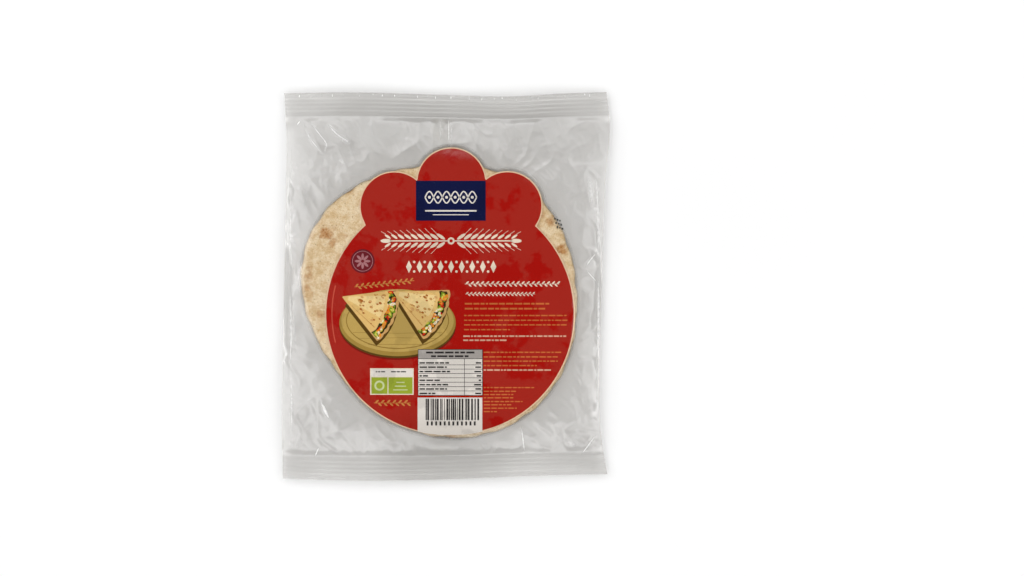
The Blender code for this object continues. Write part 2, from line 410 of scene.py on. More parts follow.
def crumple(x, y, seed):
    """Random creases: tension folds that run out from the stack, and smaller ones across them."""
    across, along = x - STACK_CENTRE[0], y - STACK_CENTRE[1]
    turn, out = np.arctan2(along, across), np.hypot(across, along)
    beside = smooth(-inside_bread(x, y) / CRUMPLE_FADE)
    bend = CRUMPLE_BEND[0] * waves(x, y, CRUMPLE_BEND[1], seed)
    sizes = CRUMPLE_SIZES
    over_size, over_share = OVER_BREADS
    radial = 1 - np.abs(waves(turn * CRUMPLE_RADIUS + bend, out * 0.35, sizes[0], seed + 1))
    slanted = 1 - np.abs(waves(x + 0.5 * y + bend, 0.45 * (y - 0.4 * x), sizes[1], seed + 2))
    small = 1 - np.abs(waves(x + 2 * bend, y - bend, sizes[2], seed + 3))
    tiny = waves(x - y, x + y, sizes[3], seed + 4)
    broad = waves(x, y, sizes[4], seed + 5)
    kinds = (radial**2, slanted**3, small**2, tiny, broad)
    lifted = sum(share * kind for share, kind in zip(CRUMPLE_SHARES, kinds))
    over = 1 - np.abs(waves(x * 0.8 + y * 0.5, y, over_size, seed + 6))
    calm = 1 - growing(y, *CALM)
    return CRUMPLE * calm * (beside * lifted + (1 - beside) * over_share * over)


def outlined(x, y):
    """Moves a point of the plain rectangle to the pack's real, wandering outline."""
    side = x / (PACK_WIDTH / 2)
    wander = np.where(x < 0, through(LEFT_WANDER, y), through(RIGHT_WANDER, y))
    reach = smooth((np.abs(y) - PACK_LENGTH / 2) / WANDER_REACH + 1)
    end = np.where(y < 0, -through(BOTTOM_WANDER, x), through(TOP_WANDER, x))
    return x + side * np.abs(side) ** 3 * wander, y + reach * end


TAIL_CRINKLE = (0.00022, 0.0022)  # height and size


def rib_wave(x, y):
    """The crimp of an end seal, which both skins share, and the crinkled tail past it."""
    depth = PACK_LENGTH / 2 - TAIL_LENGTH - np.abs(y)
    inside = smooth(depth / RIB_PITCH + 0.5) * smooth(RIB_COUNT - depth / RIB_PITCH)
    uneven = 0.85 + 0.35 * waves(x, y, 0.014, 41)
    crinkle, size = TAIL_CRINKLE
    crinkled = smooth(-depth / TAIL_LENGTH) * crinkle * waves(x, y, size, 42)
    return inside * uneven * RIB_HEIGHT / 2 * np.cos(2 * np.pi * depth / RIB_PITCH) + crinkled


def film_skins():
    """Points of the front and the back film: fine rows in the ribbed seals, even ones between."""
    cells = [count * 2**SETTLE_LEVELS + 1 for count in SETTLE_CELLS]
    columns = np.linspace(-PACK_WIDTH / 2, PACK_WIDTH / 2, cells[0])
    rows = np.linspace(-BODY_HALF, BODY_HALF, cells[1])
    x, y = np.meshgrid(columns, rows)
    front, back = settled_skins(x, y)
    free = smooth((PACK_WIDTH / 2 - np.abs(x)) / SIDE_FADE)
    free = free * smooth((BODY_HALF - np.abs(y)) / SEAL_FADE)
    front = front + (ridges(x, y, FOLDS) + crumple(x, y, FRONT_SEED)) * free
    loose = free * (inside_bread(x, y) < 0)
    back = np.maximum(back + BACK_SHARE * crumple(x, y, BACK_SEED) * loose, 0.0)
    seal_rows = np.linspace(BODY_HALF, PACK_LENGTH / 2, SEAL_ROWS + 1)[1:]
    seal_x, seal_y = np.meshgrid(columns, seal_rows)
    seal = EDGE_HEIGHT + through(SEAL_WAVE, seal_x) + rib_wave(seal_x, seal_y)
    px, py = outlined(np.vstack([seal_x, x, seal_x]), np.vstack([-seal_y[::-1], y, seal_y]))
    skins = []
    for height, lift in ((front, FILM_GAP / 2), (back, -FILM_GAP / 2)):
        skins.append(np.dstack([px, py, np.vstack([seal[::-1], height, seal]) + FILM_LIFT + lift]))
    front, back = skins
    front[..., 2] = np.maximum(front[..., 2], back[..., 2] + FILM_GAP)
    return front, back


# Painted shade that darkens the film, with the doubled film of the seals: (where one starts, over what
# length it grows, share of full darkening)
# Painted shade on steep film
STEEP_SHADE = (0.12, 0.55, 0.45)  # by slope
# Painted shade along the main folds
FOLD_SHADE = (0.0, 0.0012, 0.22)  # by height of a main fold
# Painted shade just under the top seal
TOP_SHADE = (BODY_HALF - 0.009, 0.006, 0.26)  # by y, as the tail
TAIL = (PACK_LENGTH / 2 - 1.3 * TAIL_LENGTH, TAIL_LENGTH, 0.6)
# Painted shade near the top and bottom ends of the pack, most across their middle
END_SHADE = (0.066, 0.030)  # by distance up or down the pack; its shares and half-widths follow
END_SHADE_SHARES = (0.68, 0.90)  # at the top and at the bottom
END_SHADE_HALF = (0.088, 0.050)
END_SHADE_FADE = 0.035
STEEP_SHADE_FADE = 0.010
SEALED_SHARE = 0.04
# Painted shade in the hollows of the seal ribs, less on their crests
RIB_SHADE = 2400.0  # taken off for each metre that a rib stands up
SEAL_STEP = 0.0006


def in_seal(y):
    """1 in the end seals and 0 between them."""
    return growing(np.abs(y), BODY_HALF, SEAL_STEP)


def folds_and_painted_shade(skin):
    """How much less light each point lets through, 0 to 1: the doubled film of the seals, a darker tail,
    and painted shade on steep film, along the main folds, in the hollows of the seal ribs, near both
    ends and just under the top seal.
    """
    x, y = skin[..., 0], skin[..., 1]
    slopes = []
    for axis in (0, 1):
        rise, run = np.gradient(skin[..., 2], axis=axis), np.gradient(skin[..., 1 - axis], axis=axis)
        slopes.append(rise / run)
    slopes_shaded = growing(np.hypot(*slopes), *STEEP_SHADE) * smooth((BODY_HALF - np.abs(y)) / STEEP_SHADE_FADE)
    folds_shaded = growing(ridges(x, y, FOLDS), *FOLD_SHADE)
    half = np.where(y > 0, *END_SHADE_HALF)
    ends_shaded = growing(np.abs(y), *END_SHADE, np.where(y > 0, *END_SHADE_SHARES))
    ends_shaded = ends_shaded * smooth((half - np.abs(x)) / END_SHADE_FADE)
    under_top_shaded = growing(y, *TOP_SHADE) * (y < BODY_HALF + RIB_PITCH / 4)
    sealed = in_seal(y) * (SEALED_SHARE - RIB_SHADE * rib_wave(x, y))
    total = slopes_shaded + folds_shaded + ends_shaded + under_top_shaded + sealed + growing(y, *TAIL)
    return np.clip(total, 0.0, 1.0)


# Milky haze of the film beside its contents: partly the film's own haze, partly painted light that lifts
# the shade next to the contents and in the seals. Under 1.1 the render shows a thin line along it
# The haze starts inside the breads' edge, painting light over the shade at their rim
VEIL_INSET = 0.0014  # it starts this far inside the breads' edge
VEIL_FADE = 0.0028
VEIL_LEVEL = 1.3
# Painted light: the haze is strongest next to the contents, where their shade falls
SHADE_FILL_DROP = (0.0, 0.016, 0.18)  # (distance from which it is fainter, over what length, how much)
# Painted light: more haze in the seals makes them lighter
SEAL_HAZE_LIFT = 0.16


def haze_with_painted_fill(skin):
    """Over 1 where the film stands free and looks milky, most next to the contents and in the seals as
    painted light over their shade, and 0 where it clings to the contents.
    """
    x, y = skin[..., 0], skin[..., 1]
    apart = [np.hypot(x - cx, y - cy) - radius for cx, cy, radius in CARD_CIRCLES]
    outside = np.min([VEIL_INSET - inside_bread(x, y), *apart], axis=0)
    level = VEIL_LEVEL - growing(outside, *SHADE_FILL_DROP) + SEAL_HAZE_LIFT * in_seal(y)
    return smooth(outside / VEIL_FADE) * level


def make_film(name, skin, flipped, material):
    rows, columns, _ = skin.shape
    film = make_mesh(name, skin, grid_faces(rows, columns, flipped=flipped))
    # The fold value carries the doubled film of the seals and painted shade
    set_values(film, "fold", folds_and_painted_shade(skin))
    set_values(film, "veil", haze_with_painted_fill(skin))
    return finish_piece(film, material, replaces=True)


# Clear tints of the film, and the darker tints where the fold value gives doubled film and painted shade
FRONT_CLEAR = (0.935, 0.931, 0.924)
FRONT_DOUBLED_AND_SHADED = (0.80, 0.794, 0.782)
BACK_CLEAR = (0.84, 0.833, 0.822)
BACK_DOUBLED_AND_SHADED = (0.70, 0.69, 0.67)
# Front haze: partly the film's own milkiness, partly painted light over the shade beside the contents
FRONT_HAZE = (0.75, 0.742, 0.726)
FRONT_HAZE_SHARE = 0.30  # where the film stands free
BACK_HAZE = (0.80, 0.79, 0.77)
BACK_HAZE_SHARE = 0.005
FILM_SHINE = 0.068  # share of light that the film's two faces reflect, seen straight on
FILM_ROUGHNESS = 0.14
# Seam tints: its haze is partly the fin's own milkiness, partly a painted lighter sheen
SEAM_CLEAR = (0.985, 0.978, 0.945)
SEAM_HAZE_AND_SHEEN = (0.92, 0.90, 0.82)
SEAM_HAZE_SHARE = 0.35
# White of the painted highlights on the film's creases
PAINTED_GLINT_WHITE = (0.95, 0.943, 0.935)


def film_material(name, tint, folded, haze_tint, haze_share):
    """Clear film: see-through, with a thin gloss from both its faces and a trace of haze."""
    shader = Shader(name)
    normal = shader.bump(shader.noise(900.0, 3.0), 0.25, 0.0002)
    # The see-through tint is darkened by the fold value: doubled film and painted shade
    passed = shader.mix(shader.attribute("fold"), tint, folded)
    clear = shader.node("BsdfTransparent", {"Color": passed}).outputs[0]
    haze = shader.node("BsdfDiffuse", {"Color": (*haze_tint, 1.0)}).outputs[0]
    gloss_inputs = {"Color": (1.0, 1.0, 1.0, 1.0), "Roughness": FILM_ROUGHNESS, "Normal": normal}
    gloss = shader.node("BsdfAnisotropic", gloss_inputs).outputs[0]
    # The veil value sets the haze, which is partly painted light over shade
    milky = shader.math("MULTIPLY", shader.attribute("veil"), haze_share)
    veil = shader.blend(milky, clear, haze)
    facing = shader.node("LayerWeight", {"Blend": 0.5, "Normal": normal}).outputs["Facing"]
    grazing = shader.math("MULTIPLY", shader.math("POWER", facing, 5.0), 1 - FILM_SHINE)
    shine = shader.math("ADD", grazing, FILM_SHINE)
    return shader.surface(shader.blend(shine, veil, gloss))


# Back seam: a folded fin of film that lies flat against the back; its milky haze also paints in the
# seam's lighter sheen
FIN_LEFT = -0.0078
FIN_RIGHT = 0.0032
FIN_CURL = 0.0012
FIN_GAP = 0.0001


def make_back_seam(back):
    """The milky fin of the back seam, which curls up a little along its right edge; its haze is partly
    painted light for the seam's lighter sheen.
    """
    places = np.linspace(-PACK_WIDTH / 2, PACK_WIDTH / 2, back.shape[1])
    between = np.abs(back[:, 0, 1]) < BODY_HALF
    strip = back[between][:, (places >= FIN_LEFT) & (places <= FIN_RIGHT)].copy()
    rows, count, _ = strip.shape
    strip[..., 2] -= FIN_GAP
    lifted = smooth((strip[..., 0] - FIN_RIGHT + FIN_CURL * 1.5) / FIN_CURL)
    strip[..., 2] += 0.5 * FIN_GAP * lifted
    seam = make_mesh("back_seam", strip, grid_faces(rows, count))
    set_values(seam, "veil", np.ones(rows * count))
    milky = film_material("seam_film", SEAM_CLEAR, SEAM_CLEAR, SEAM_HAZE_AND_SHEEN, SEAM_HAZE_SHARE)
    return finish_piece(seam, milky)


LOT_MARKS = [  # (x, y) in mm of the middle of each short row of ink specks on the film
    (66.2, 38.6), (66.9, 36.2), (67.6, 33.8),
]
SPECK_STEP = (1.5, -0.5)
SPECK_HALF_WIDTHS = (0.35, 0.6)
SPECK_HALF_HEIGHTS = (0.3, 0.75)


def on_film(tree, x, y):
    """The point just over the front film at a place given in mm."""
    hit = tree.ray_cast(Vector((x * MM, y * MM, 1.0)), Vector((0, 0, -1)))[0]
    return hit.x, hit.y, hit.z + FILM_GAP


def make_lot_marks(tree):
    """A few plain specks of black ink on the front film, beside the breads."""
    rng = np.random.default_rng(17)
    points, faces = [], []
    for row_x, row_y in LOT_MARKS:
        for k in range(3):
            x, y = row_x + SPECK_STEP[0] * (k - 1), row_y + SPECK_STEP[1] * (k - 1)
            half_x, half_y = rng.uniform(*SPECK_HALF_WIDTHS), rng.uniform(*SPECK_HALF_HEIGHTS)
            faces.append(tuple(range(len(points), len(points) + 4)))
            for side_x, side_y in ((-1, -1), (1, -1), (1, 1), (-1, 1)):
                points.append(on_film(tree, x + side_x * half_x, y + side_y * half_y))
    marks = make_mesh("lot_marks", points, faces, smooth_shade=False)
    return finish_piece(marks, ink("lot_ink", (40, 40, 42)))


# Painted highlights: white strips laid on the film along its sharp creases
PAINTED_GLINTS = [  # (places along it in mm, width in mm, whiteness) of the film's sharp creases
    ([(-87.6, 94.2), (-85.3, 97.3)], 1.5, 1),
    ([(-80.6, 98.5), (-75.8, 91.7), (-70.9, 85.4), (-69.6, 82.2), (-71.3, 76.8)], 1.7, 0.55),
    ([(-83.1, 95.3), (-79.9, 87.6), (-74.9, 80.9), (-71.3, 76.8)], 1.9, 0.45),
    ([(-69.1, 94.9), (-62.8, 88.5), (-55.5, 84)], 2.2, 0.6),
    ([(-61.5, 88), (-58.5, 85.5), (-55.6, 83.4)], 5, 0.4),
    ([(-62.5, 74), (-58.8, 71.6)], 3.4, 0.25),
    ([(-82.5, 63), (-82, 45)], 6, 0.15),
    ([(-90.3, 81.7), (-90.8, 40), (-92, -2.7)], 1.5, 0.4),
    ([(-91.5, 0), (-90.5, -24), (-91, -48)], 2.6, 0.65),
    ([(-91, -44), (-90.2, -70), (-90.8, -97)], 2.8, 0.4),
    ([(-88.5, -10), (-88, -40)], 1.4, 0.3),
    ([(84.4, 63.5), (86, 57), (86.4, 46.5)], 5, 0.55),
    ([(89, 66), (90.2, 40), (90.4, 14)], 2, 0.7),
    ([(82.4, 10.2), (85.6, 15), (89.9, 20)], 1.7, 0.75),
    ([(83, 9.4), (86.4, 5.4), (90.3, 1.2)], 1.6, 0.7),
    ([(90.3, 4), (90.6, -14), (90, -40)], 2.4, 0.85),
    ([(90, -36), (89.5, -75)], 1.8, 0.3),
    ([(45, -82.8), (47, -98.5)], 1.3, 1),
    ([(80.5, -99.7), (89, -88)], 1.6, 0.85),
    ([(72.5, -91.5), (77, -95)], 4.4, 0.3),
    ([(-72.6, -68.1), (-67.9, -78.2)], 2.8, 1),
    ([(-74.1, -95.3), (-76.9, -101.2)], 1.5, 0.9),
    ([(-86, -87), (-86, -96.5)], 5, 0.2),
    ([(2.2, 99.5), (2.4, 82.5)], 1.3, 0.75),
    ([(3.8, 98), (3.7, 84)], 0.9, 0.5),
    ([(-2.6, 98), (-2.3, 84.5)], 0.8, 0.35),
]
TICK_COUNT = 24
TICK_LENGTHS = (1.2, 3.2)
TICK_WIDTHS = (0.7, 1.8)
TICK_GLINT_STRENGTH = (0.3, 1.0)
GLINT_STEPS = 10  # points for each place of a crease


def tail_glints():
    """Short painted glints, as strips like creases, at random places of the top seal's tail."""
    rng = np.random.default_rng(5)
    ticks = []
    for x in np.linspace(-88.0, 88.0, TICK_COUNT) + rng.uniform(-3.0, 3.0, TICK_COUNT):
        edge = (PACK_LENGTH / 2 + through(TOP_WANDER, x * MM)) / MM - 0.5
        path = [(x, edge - rng.uniform(*TICK_LENGTHS)), (x + rng.uniform(-0.6, 0.6), edge)]
        ticks.append((path, rng.uniform(*TICK_WIDTHS), rng.uniform(*TICK_GLINT_STRENGTH)))
    return ticks


def make_painted_glints(tree):
    """Painted highlights on the front film's sharp creases: narrow strips of white haze, soft along both
    sides.
    """
    points, faces, white = [], [], []
    for path, width, glint_strength in PAINTED_GLINTS + tail_glints():
        step = np.linspace(0, len(path) - 1, GLINT_STEPS * len(path))
        x, y = (through(list(enumerate(value)), step) for value in zip(*path))
        ahead = np.stack([np.gradient(x), np.gradient(y)])
        side_x, side_y = np.stack([-ahead[1], ahead[0]]) / np.hypot(*ahead)
        taper = np.sin(np.pi * np.linspace(0.02, 0.98, len(step))) ** 0.6
        first = len(points)
        for k in range(len(step)):
            for side in (-1, 0, 1):
                shift = side * taper[k] * width / 2
                points.append(on_film(tree, x[k] + side_x[k] * shift, y[k] + side_y[k] * shift))
                white.append(glint_strength * taper[k] * (side == 0))
        faces += grid_faces(len(step), 3, first, flipped=True)
    creases = make_mesh("film_painted_glints", points, faces)
    # The white value is the strength of each painted highlight
    set_values(creases, "white", white)
    return finish_piece(creases, painted_glint_material())


def painted_glint_material():
    """Painted highlight of a crease: clear film but for a soft, uneven white haze."""
    shader = Shader("painted_glint_looks")
    clear = shader.node("BsdfTransparent").outputs[0]
    haze = shader.node("BsdfDiffuse", {"Color": (*PAINTED_GLINT_WHITE, 1.0)}).outputs[0]
    uneven = shader.grey(shader.noise(500.0, 3.0), 0.30, 0.60, 0.55)
    # Painted highlight: white haze by the white value
    share = shader.math("MULTIPLY", shader.attribute("white"), uneven)
    return shader.surface(shader.blend(share, clear, haze))


# Breads

TOAST_SPOTS = [  # (x, y, radius, strength) of the browned spots that show beside the card
    (-0.0696, 0.0304, 0.0048, 0.85), (-0.0808, -0.0015, 0.0034, 0.6), (-0.0797, 0.0097, 0.0028, 0.55),
    (-0.0726, -0.0168, 0.0030, 0.75), (0.0620, 0.0375, 0.0036, 0.7), (0.0690, 0.0209, 0.0034, 1.0),
    (-0.0560, 0.0560, 0.0030, 0.6), (-0.0620, 0.0170, 0.0022, 0.35), (0.0745, -0.0060, 0.0030, 0.4),
]
SPOT_COUNT = 90
BLISTER_COUNT = 70
BREAD_SLACK = 0.0004  # how far the breads' edge keeps inside the film's rim
TOP_GRID = (420, 74)  # points round the top bread, and rings from its middle to its edge
LOW_GRID = (300, 40)
LOW_SHARE = 0.985  # radius of the two lower breads as a share of the top one's
LOW_SHIFT = 0.0006
LOW_SWING = 2
DIP = 0.00035  # the top face lies this far under the film, and less at a blister
BLISTER_HEIGHT = 0.0003


def spread_spots(count, seed, smallest, largest):
    """Random places on a bread with a radius and a strength each."""
    rng = np.random.default_rng(seed)
    turn, out = rng.uniform(0, 2 * np.pi, count), BREAD_DIAMETER / 2 * np.sqrt(rng.uniform(0, 1, count))
    x, y = STACK_CENTRE[0] + out * np.cos(turn), STACK_CENTRE[1] + out * np.sin(turn)
    return list(zip(x, y, rng.uniform(smallest, largest, count), rng.uniform(0.15, 0.75, count)))


def spotted(x, y, spots):
    """Soft uneven spots, the strongest one at each place."""
    ragged = 1 + 0.35 * waves(x, y, 0.0022, 21) + 0.25 * waves(x, y, 0.0009, 22)
    total = np.zeros_like(x)
    for sx, sy, radius, strength in spots:
        near = smooth(1.35 - np.hypot(x - sx, y - sy) / (radius * ragged))
        total = np.maximum(total, strength * near)
    return total


def make_bread(index):
    """One flatbread: an uneven round slab with a soft rim, blisters and browned spots."""
    is_top = index == BREAD_COUNT - 1
    turns, rings = TOP_GRID if is_top else LOW_GRID
    rng = np.random.default_rng(40 + index)
    shift = rng.uniform(-LOW_SHIFT, LOW_SHIFT, 2) * (not is_top)
    swing = 0.0 if is_top else rng.uniform(-LOW_SWING, LOW_SWING)
    angle = np.arange(turns) * 360 / turns
    turn = np.radians(angle)
    ragged = 0.00035 * np.sin(turn * 23 + index) + 0.00025 * np.sin(turn * 41)
    edge = bread_radius((angle + swing) % 360) * (1.0 if is_top else LOW_SHARE)
    edge = edge + ragged - BREAD_SLACK
    out = (np.arange(rings + 1) / rings) ** 0.75
    radius = out[:, None] * edge[None, :]
    x = STACK_CENTRE[0] + shift[0] + radius * np.cos(turn)
    y = STACK_CENTRE[1] + shift[1] + radius * np.sin(turn)
    inset = np.clip((edge[None, :] - radius) / BREAD_RIM, 0.0, 1.0)
    half = BREAD_THICKNESS / 2 * np.sqrt(inset * (2 - inset))
    blisters = spotted(x, y, spread_spots(BLISTER_COUNT, 60 + index, 0.003, 0.008))
    relief = 0.00022 * waves(x, y, 0.005, 31 + index) + 0.00012 * waves(x, y, 0.002, 34 + index)
    dip = smooth(inset * 1.5) * (DIP - BLISTER_HEIGHT * blisters - relief)
    middle = BREAD_THICKNESS * (index + 0.5)
    lowest = 2 * FILM_LIFT if index == 0 else 0.0
    bottom = np.maximum(middle - half, BREAD_THICKNESS * index + lowest)
    top = np.maximum(middle + half - dip, bottom)
    bread = make_mesh("bread_%d" % (index + 1), *slab(x, y, top, bottom))
    spots = spread_spots(SPOT_COUNT, 80 + index, 0.0012, 0.0042) + TOAST_SPOTS * is_top
    toast = spotted(x, y, spots)
    set_values(bread, "toast", [toast, toast])
    dough = bpy.data.materials.get("flatbread") or bread_material()
    return finish_piece(bread, dough, replaces=True)


def bread_material():
    """Dry floury flatbread: pale dough, toasted patches, fine bran flecks and an open crumb."""
    shader = Shader("flatbread")
    pale, dough, warm = linear(240, 222, 190), linear(229, 206, 168), linear(214, 184, 140)
    base = shader.ramp(shader.noise(240.0, 6.0, 0.68), [(0.36, warm), (0.50, dough), (0.64, pale)])
    brown, tan = linear(166, 112, 62), linear(206, 158, 106)
    toasted = shader.ramp(shader.noise(700.0, 4.0), [(0.35, brown), (0.65, tan)])
    browning = shader.math("MULTIPLY", shader.attribute("toast"), shader.noise(520.0, 4.0, 0.7))
    browned = shader.grey(browning, 0.10, 0.46)
    colour = shader.mix(browned, base, toasted)
    freckled = shader.grey(shader.noise(1150.0, 4.0, 0.6), 0.56, 0.66, 0.0, 0.55)
    colour = shader.mix(freckled, colour, linear(198, 148, 96))
    flecks = shader.node("TexVoronoi", {"Vector": shader.place(), "Scale": 620.0, "Randomness": 1.0})
    is_fleck = shader.grey(flecks.outputs["Distance"], 0.14, 0.24, 1.0, 0.0)
    chosen = shader.grey(flecks.outputs["Color"], 0.72, 0.76)
    bran = shader.math("MULTIPLY", shader.math("MULTIPLY", is_fleck, chosen), 0.7)
    colour = shader.mix(bran, colour, linear(130, 92, 56))
    dull, light = (0.90, 0.89, 0.87), (1.04, 1.04, 1.04)
    dust = shader.ramp(shader.noise(1500.0, 2.0), [(0.35, dull), (0.65, light)])
    colour = shader.mix(1.0, colour, dust, "MULTIPLY")
    height = shader.math("ADD", shader.noise(700.0, 4.0, 0.65), shader.noise(2200.0, 2.0))
    normal = shader.bump(height, 0.45, 0.0004)
    return shader.set(Base_Color=colour, Roughness=0.85, Normal=normal, Specular_IOR_Level=0.25)


# Card and print


def card_edge(angle, inset):
    """Distance from the middle of the card to its lobed outline, less a margin, at each angle."""
    cx, cy = CARD_CENTRE
    reach = np.zeros_like(angle)
    for x, y, radius in CARD_CIRCLES:
        ahead = (x - cx) * np.cos(angle) + (y - cy) * np.sin(angle)
        aside = (y - cy) * np.cos(angle) - (x - cx) * np.sin(angle)
        chord = (radius - inset) ** 2 - aside**2
        reach = np.maximum(reach, np.where(chord > 0, ahead + np.sqrt(np.maximum(chord, 0)), 0.0))
    return reach


CARD_BORDER = 0.0007


def card_disc(turns=720, rings=26):
    """Points over the card, ring by ring; its last ring but one is the edge of the red print."""
    angle = np.arange(turns) * 2 * np.pi / turns
    radius = np.linspace(0, 1, rings + 1)[:, None] * card_edge(angle, CARD_BORDER)[None, :]
    radius = np.vstack([radius, card_edge(angle, 0.0)])
    x = CARD_CENTRE[0] + radius * np.cos(angle)
    y = CARD_CENTRE[1] + radius * np.sin(angle)
    return x, y


def make_card():
    """The card: a thin slab in the lobed outline, cream where it isn't printed."""
    x, y = card_disc()
    top = card_top(x, y)
    card = make_mesh("card", *slab(x, y, top, top - CARD_THICKNESS * 0.9))
    card.data.set_sharp_from_angle(angle=np.radians(60))
    return finish_piece(card, ink("card_cream", (236, 204, 170)), replaces=True)


INK_STEP = 0.000015
# Outside the cling patches the inks are paler, with the film's reflection painted in
CLING_SIZE = 62.0  # patches per metre where the film clings to the card
CLING_FADE = 1.9  # how fast they thin out away from the card's middle, per metre


def clinging(shader):
    """1 in the uneven patches where the film clings to the card, most of them near its middle; outside
    them the inks show a painted sheen of the film's reflection.
    """
    middle = (*CARD_CENTRE, STACK_HEIGHT)
    away = shader.node("VectorMath", {0: shader.place(), 1: middle}, operation="DISTANCE")
    nearness = shader.math("MULTIPLY", away.outputs["Value"], -CLING_FADE)
    value = shader.math("ADD", shader.noise(CLING_SIZE, 5.0, 0.6), nearness)
    return shader.grey(value, 0.39, 0.47, ease="EASE")


def ink(name, colour, deep=None):
    """A printed colour: paler, with the film's reflection painted in as a sheen, and deeper where the
    film clings to the card.
    """
    if name in bpy.data.materials:
        return bpy.data.materials[name]
    shader = Shader(name)
    tone_with_painted_sheen = linear(*colour)
    deep = linear(*deep) if deep else tuple(value * 0.85 for value in tone_with_painted_sheen)
    tone = shader.mix(clinging(shader), tone_with_painted_sheen, deep)
    grain = shader.grey(shader.noise(2600.0, 2.0), 0.3, 0.7, 0.95, 1.03)
    tone = shader.mix(1.0, tone, grain, "MULTIPLY")
    return shader.set(Base_Color=tone, Roughness=0.5, Specular_IOR_Level=0.06)


def make_red_field():
    x, y = (value[:-1] for value in card_disc())
    rings, turns = x.shape
    points = np.dstack([x, y, card_top(x, y) + INK_STEP])
    field = make_mesh("print_red", points, grid_faces(rings, turns, wraps=True))
    # Paler red with the painted sheen of the film's reflection, and deep red where the film clings
    return finish_piece(field, ink("red_ink", (170, 39, 28), (170, 12, 2)))


# Ink colours with the film's reflection painted in as a pale sheen; each is deeper where the film clings
INKS = {
    "navy": (12, 20, 66), "red": (186, 46, 36), "cream": (240, 226, 205),
    "white": (236, 230, 223), "gold": (206, 138, 72), "dull_white": (224, 178, 152),
    "dull_gold": (206, 112, 58), "violet": (112, 28, 38), "pale_violet": (178, 122, 126),
    "faint_red": (204, 84, 66), "grey": (178, 172, 167), "black": (54, 50, 50),
    "green": (157, 172, 55), "pale_green": (206, 216, 164), "dark_red": (128, 20, 12),
    "board_rim": (168, 138, 66), "board_shade": (92, 66, 20), "board": (196, 166, 92),
    "groove": (150, 120, 56), "wrap": (232, 194, 122), "wrap_light": (242, 214, 152),
    "wrap_fold": (200, 150, 86), "wrap_under": (212, 166, 104), "toast": (170, 100, 44),
    "toast_light": (214, 166, 106), "dark_green": (54, 48, 14), "leaf": (118, 146, 38),
    "pale_leaf": (212, 206, 84), "tomato": (206, 42, 24), "carrot": (238, 146, 34),
    "onion": (246, 236, 212),
}


SHORTEST_DASH = 0.8


class Print:
    """Flat printed shapes on the card, in mm. Each lies a small step above what is under it."""

    def __init__(self, name):
        self.name = name
        self.points, self.layers, self.faces, self.face_inks = [], [], [], []
        self.pen("cream", 1)

    def pen(self, ink_name, layer):
        self.ink, self.layer = ink_name, layer
        return self

    def outline(self, places):
        first = len(self.points)
        self.points += [(x * MM, y * MM) for x, y in places]
        self.layers += [self.layer] * len(places)
        self.faces.append(tuple(range(first, first + len(places))))
        self.face_inks.append(self.ink)

    def bar(self, left, bottom, right, top):
        self.outline([(left, bottom), (right, bottom), (right, top), (left, top)])

    def oval(self, x, y, rx, ry, tilt=0.0, steps=28):
        angle = np.arange(steps) * 2 * np.pi / steps
        c, s = np.cos(np.radians(tilt)), np.sin(np.radians(tilt))
        u, v = rx * np.cos(angle), ry * np.sin(angle)
        self.outline(list(zip(x + u * c - v * s, y + u * s + v * c)))

    def ribbon(self, places, width):
        """A line of even width through a few places."""
        path = np.array(places, float)
        ahead = np.gradient(path, axis=0)
        ahead /= np.hypot(ahead[:, 0], ahead[:, 1])[:, None]
        side = np.column_stack([-ahead[:, 1], ahead[:, 0]]) * width / 2
        left, right = path + side, path - side
        for k in range(len(path) - 1):
            self.outline([right[k], right[k + 1], left[k + 1], left[k]])

    def ring(self, x, y, rx, ry, width, start=0, end=360, steps=48):
        angle = np.radians(np.linspace(start, end, steps))
        self.ribbon(list(zip(x + rx * np.cos(angle), y + ry * np.sin(angle))), width)

    def dashes(self, left, right, bottom, height, seed, longest, gap):
        """A printed line of words as a row of plain dashes."""
        rng = np.random.default_rng(seed)
        while left < right - SHORTEST_DASH:
            end = left + min(rng.uniform(0.25, 1.0) * longest, right - left)
            self.bar(left, bottom, end, bottom + height)
            left = end + gap

    def sprig(self, x0, y0, x1, y1, leaf):
        """A stem with small leaves in turn above and below it."""
        tilt = np.degrees(np.arctan2(y1 - y0, x1 - x0))
        length = np.hypot(x1 - x0, y1 - y0)
        along, across = np.array([x1 - x0, y1 - y0]) / length, np.array([y0 - y1, x1 - x0]) / length
        self.ribbon([(x0, y0), (x1, y1)], leaf * 0.16)
        for k in range(int(length / (leaf * 0.85))):
            side = 1 - 2 * (k % 2)
            middle = np.array([x0, y0]) + along * leaf * (0.85 * k + 0.9) + across * side * leaf * 0.48
            self.oval(*middle, leaf * 0.62, leaf * 0.26, tilt + side * 38, 12)

    def make(self):
        flat = np.array(self.points)
        lift = INK_STEP * (1 + np.array(self.layers))
        points = np.column_stack([flat, card_top(flat[:, 0], flat[:, 1]) + lift])
        piece = make_mesh(self.name, points, self.faces, smooth_shade=False)
        names = sorted(set(self.face_inks))
        for ink_name in names:
            piece.data.materials.append(ink(ink_name + "_ink", INKS[ink_name]))
        piece.data.polygons.foreach_set("material_index", [names.index(name) for name in self.face_inks])
        return finish_piece(piece, None)


PANEL = (-16.9, 38.0, 24.1, 61.5)  # left, bottom, right and top
PANEL_RULES = [(-11.5, 43.4, 18.7, 44.3), (-7.0, 41.3, 14.2, 41.8)]
BRAID_LEFT, BRAID_RIGHT, BRAID_Y = -11.5, 18.7, 51.8
BRAID_LOOP = 5.04
BRAID_LOOPS = 6
BRAID_SWING = 3.4


